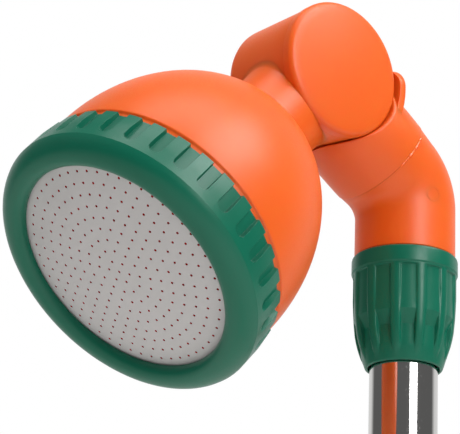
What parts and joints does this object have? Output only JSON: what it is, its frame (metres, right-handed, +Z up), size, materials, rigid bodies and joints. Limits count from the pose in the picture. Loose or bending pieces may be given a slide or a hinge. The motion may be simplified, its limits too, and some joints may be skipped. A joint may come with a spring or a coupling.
{
  "type": "watering wand",
  "caption": "Hand-held watering wand: a tilting bell-shaped shower head with a drilled plate on a chromed tube, with a grip handle, thumb valve and hose nipple.",
  "frame": {"origin": "tip of the hose inlet, on the tube's axis", "axes": "+Z up the tube towards the head, +X the side that the shower head faces, +Y along the head's tilt axis, right-handed, metres"},
  "size_m": [0.1452, 0.0784, 0.5937],
  "materials": {
    "orange_plastic": "satin moulded ABS",
    "green_plastic": "satin moulded polypropylene",
    "grey_sheet": "matte grey coated steel sheet",
    "chrome_tube": "mirror chrome plate on steel",
    "black_nylon": "matte moulded nylon",
    "nitrile": "matte rubber",
    "white_acetal": "matte acetal",
    "brass": "machined brass",
    "ptfe": "smooth PTFE",
    "green_tpe": "matte soft elastomer",
    "steel": "zinc-plated steel",
    "red_plastic": "moulded ABS"
  },
  "bodies": {
    "wand": {"pivot_core": "black_nylon", "core_plug": "black_nylon", "pivot_o_rings": "nitrile", "pivot_stem": "brass", "stem_o_ring": "nitrile", "pivot_body": "orange_plastic", "elbow_body": "orange_plastic", "grip_ring": "white_acetal", "tube_o_ring": "nitrile", "wand_tube": "chrome_tube", "handle_grip_ring": "white_acetal", "handle_tube_o_ring": "nitrile", "valve_body": "black_nylon", "seat_nut": "black_nylon", "valve_seats": "ptfe", "pivot_screw": "steel", "handle_shell_left": "orange_plastic", "handle_shell_right": "orange_plastic", "shell_screws": "steel", "grip_sleeve": "green_tpe", "hose_nipple": "black_nylon", "nipple_o_ring": "nitrile", "grip_pipe": "white_acetal"},
    "rose": {"neck_drum": "orange_plastic", "face_plate": "grey_sheet", "bell_housing": "orange_plastic", "head_gasket": "nitrile", "spreader_plate": "red_plastic", "neck_o_ring": "nitrile", "pivot_cap": "orange_plastic"},
    "valve": {"thumb_lever": "green_plastic", "valve_stem": "brass", "valve_ball": "chrome_tube", "stem_screw": "steel", "stem_seal_o_ring": "nitrile"},
    "locking_ring": {"locking_ring": "green_plastic"},
    "collar_nut": {"collar_nut": "green_plastic"},
    "handle_collar_nut": {"handle_collar_nut": "green_plastic"}
  },
  "joints": [
    {"name": "head_tilt", "type": "hinge", "parent": "wand", "child": "rose", "pos_m": [0.036, 0, 0.5744], "axis": [0, -1, 0], "range_deg": [0, 70]},
    {"name": "ring_turn", "type": "hinge", "parent": "rose", "child": "locking_ring", "pos_m": [0.09215, 0, 0.51058], "axis": [0.6605, 0, -0.7508], "range_deg": [0, 360]},
    {"name": "collar_turn", "type": "hinge", "parent": "wand", "child": "collar_nut", "pos_m": [0, 0, 0.515], "axis": [0, 0, 1], "range_deg": [0, 540]},
    {"name": "handle_collar_turn", "type": "hinge", "parent": "wand", "child": "handle_collar_nut", "pos_m": [0, 0, 0.215], "axis": [0, 0, -1], "range_deg": [0, 540]},
    {"name": "valve_turn", "type": "hinge", "parent": "wand", "child": "valve", "pos_m": [0, 0, 0.165], "axis": [0, 1, 0], "range_deg": [0, 90]}
  ]
}
